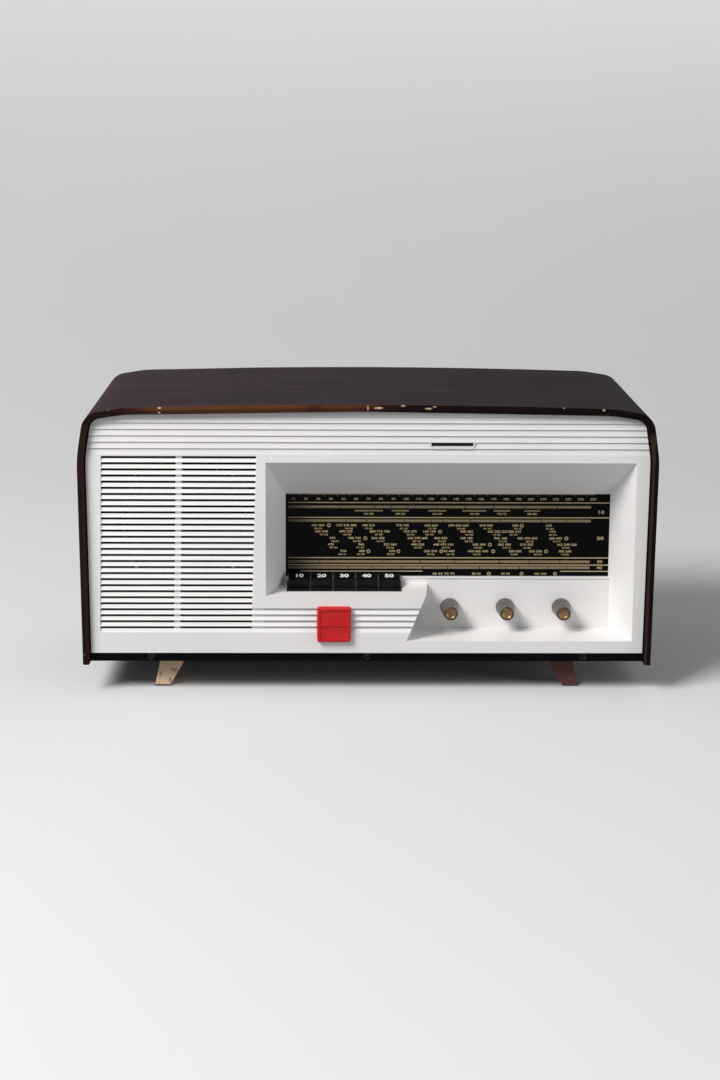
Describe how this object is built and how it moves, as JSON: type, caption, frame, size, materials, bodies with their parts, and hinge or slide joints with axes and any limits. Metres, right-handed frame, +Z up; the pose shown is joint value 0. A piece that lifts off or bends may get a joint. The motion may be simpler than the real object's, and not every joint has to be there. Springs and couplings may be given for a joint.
{
  "type": "table radio",
  "caption": "Wooden table radio with a louvred white front, recessed tuning dial, piano keys, fluted knobs and a valve chassis inside.",
  "frame": {"origin": "on the table, under the middle of the cabinet's bounding box", "axes": "X to the right as seen from the front, Y to the back, Z up; the front faces -Y"},
  "size_m": [0.5, 0.204, 0.2575],
  "materials": {
    "cabinet_wood": "dark reddish brown stained veneer under satin lacquer",
    "black_board": "plywood painted black, satin",
    "raw_wood": "plain sawn softwood",
    "leg_chipboard": "bare pressed wood, worn",
    "leg_stained_wood": "worn reddish brown stain",
    "screw_steel": "plain steel",
    "black_screw": "blackened steel",
    "white_moulding": "glossy white moulding",
    "red_badge": "glossy red",
    "dial_glass": "printed opaque black on its back, gold scale lines",
    "white_sheet": "white paint",
    "bright_steel": "bright drawn steel",
    "plated_steel": "zinc plated sheet",
    "pointer_paint": "red paint",
    "lamp_glass": "clear bulbs in sheet holders",
    "drum_plastic": "cream moulding",
    "switch_laminate": "brown laminated paper board",
    "socket_bakelite": "dark brown moulding",
    "valve_glass": "clear glass with a silvered top",
    "can_aluminium": "drawn aluminium",
    "transformer_iron": "varnished laminations",
    "baffle_fibreboard": "black faced fibreboard",
    "speaker_steel": "grey paint",
    "cone_paper": "dark pressed paper",
    "indicator_glass": "clear glass over a pale screen",
    "ferrite": "dull dark grey",
    "back_fibreboard": "brown pressed fibreboard",
    "grommet_rubber": "dull black",
    "knob_plastic": "grey brown fluted moulding",
    "cap_brass": "spun, dished and lacquered",
    "key_plastic": "glossy black"
  },
  "bodies": {
    "cabinet": {"cabinet_shell": "cabinet_wood", "bottom_board": "black_board", "cabinet_battens": "raw_wood", "leg_front_left": "leg_chipboard", "leg_front_right": "leg_stained_wood", "leg_rear_left": "leg_stained_wood", "leg_rear_right": "leg_chipboard", "wood_screws": "screw_steel", "plinth_screws": "black_screw", "back_screws": "screw_steel", "speaker_screws": "screw_steel", "front_bezel": "white_moulding", "front_badge": "red_badge", "dial_glass": "dial_glass", "dial_reflector": "white_sheet", "pointer_rail": "bright_steel", "dial_lamps": "lamp_glass", "volume_potentiometer": "plated_steel", "tone_potentiometer": "plated_steel", "key_frame": "plated_steel", "key_pivot_rod": "bright_steel", "band_switch": "switch_laminate", "chassis": "plated_steel", "valve_sockets": "socket_bakelite", "valves": "valve_glass", "coil_cans": "can_aluminium", "smoothing_capacitor": "can_aluminium", "mains_transformer": "transformer_iron", "output_transformer": "transformer_iron", "tuning_capacitor": "plated_steel", "baffle_board": "baffle_fibreboard", "speaker_basket": "speaker_steel", "speaker_magnet": "speaker_steel", "indicator_tube": "indicator_glass", "indicator_holder": "plated_steel", "ferrite_aerial": "ferrite", "aerial_clamps": "socket_bakelite", "back_panel": "back_fibreboard", "rear_sockets": "switch_laminate", "cord_grommet": "grommet_rubber"},
    "volume_control": {"volume_knob": "knob_plastic", "volume_knob_cap": "cap_brass", "volume_shaft": "bright_steel"},
    "tone_control": {"tone_knob": "knob_plastic", "tone_knob_cap": "cap_brass", "tone_shaft": "bright_steel"},
    "tuning_control": {"tuning_knob": "knob_plastic", "tuning_knob_cap": "cap_brass", "tuning_shaft": "bright_steel"},
    "pointer": {"dial_pointer": "pointer_paint"},
    "drum": {"drive_drum": "drum_plastic"},
    "rotor": {"capacitor_rotor": "can_aluminium"},
    "left_pulley": {"cord_pulley_left": "drum_plastic"},
    "right_pulley": {"cord_pulley_right": "drum_plastic"},
    "cone": {"speaker_cone": "cone_paper"},
    "key_body_1": {"key_1": "key_plastic"},
    "key_body_2": {"key_2": "key_plastic"},
    "key_body_3": {"key_3": "key_plastic"},
    "key_body_4": {"key_4": "key_plastic"},
    "key_body_5": {"key_5": "key_plastic"}
  },
  "joints": [
    {"name": "tuning_turn", "type": "hinge", "parent": "cabinet", "child": "tuning_control", "pos_m": [0.1741, -0.067, 0.0656], "axis": [0, 1, 0], "range_deg": [0, 3824]},
    {"name": "volume_turn", "type": "hinge", "parent": "cabinet", "child": "volume_control", "pos_m": [0.0742, -0.067, 0.0656], "axis": [0, 1, 0], "range_deg": [0, 270]},
    {"name": "tone_turn", "type": "hinge", "parent": "cabinet", "child": "tone_control", "pos_m": [0.1239, -0.067, 0.0656], "axis": [0, 1, 0], "range_deg": [0, 270]},
    {"name": "pointer_slide", "type": "slide", "parent": "cabinet", "child": "pointer", "axis": [1, 0, 0], "range_m": [0, 0.267]},
    {"name": "drum_turn", "type": "hinge", "parent": "cabinet", "child": "drum", "pos_m": [0.13, -0.04, 0.112], "axis": [0, 1, 0], "range_deg": [0, 540]},
    {"name": "rotor_turn", "type": "hinge", "parent": "cabinet", "child": "rotor", "pos_m": [0.13, -0.007, 0.112], "axis": [0, 1, 0], "range_deg": [0, 180]},
    {"name": "left_pulley_turn", "type": "hinge", "parent": "cabinet", "child": "left_pulley", "pos_m": [-0.068, -0.0398, 0.165], "axis": [0, 1, 0], "range_deg": [0, 2560]},
    {"name": "right_pulley_turn", "type": "hinge", "parent": "cabinet", "child": "right_pulley", "pos_m": [0.2115, -0.0398, 0.165], "axis": [0, 1, 0], "range_deg": [0, 2560]},
    {"name": "cone_slide", "type": "slide", "parent": "cabinet", "child": "cone", "axis": [0, 1, 0], "range_m": [-0.001, 0.001], "stiffness_N_per_m": 2000},
    {"name": "key_press_1", "type": "hinge", "parent": "cabinet", "child": "key_body_1", "pos_m": [-0.0603, -0.013, 0.087], "axis": [1, 0, 0], "range_deg": [0, 4.5], "stiffness_Nm_per_rad": 1.5, "springref_deg": -5.73},
    {"name": "key_press_2", "type": "hinge", "parent": "cabinet", "child": "key_body_2", "pos_m": [-0.0403, -0.013, 0.087], "axis": [1, 0, 0], "range_deg": [0, 4.5], "stiffness_Nm_per_rad": 1.5, "springref_deg": -5.73},
    {"name": "key_press_3", "type": "hinge", "parent": "cabinet", "child": "key_body_3", "pos_m": [-0.0203, -0.013, 0.087], "axis": [1, 0, 0], "range_deg": [0, 4.5], "stiffness_Nm_per_rad": 1.5, "springref_deg": -5.73},
    {"name": "key_press_4", "type": "hinge", "parent": "cabinet", "child": "key_body_4", "pos_m": [-0.0003, -0.013, 0.087], "axis": [1, 0, 0], "range_deg": [0, 4.5], "stiffness_Nm_per_rad": 1.5, "springref_deg": -5.73},
    {"name": "key_press_5", "type": "hinge", "parent": "cabinet", "child": "key_body_5", "pos_m": [0.0197, -0.013, 0.087], "axis": [1, 0, 0], "range_deg": [0, 4.5], "stiffness_Nm_per_rad": 1.5, "springref_deg": -5.73}
  ],
  "couplings": [
    {"joint": "pointer_slide", "follows": "tuning_turn", "m_per_rad": 0.004},
    {"joint": "drum_turn", "follows": "tuning_turn", "ratio": 0.14119},
    {"joint": "rotor_turn", "follows": "tuning_turn", "ratio": 0.047065},
    {"joint": "left_pulley_turn", "follows": "tuning_turn", "ratio": 0.66667},
    {"joint": "right_pulley_turn", "follows": "tuning_turn", "ratio": 0.66667}
  ]
}
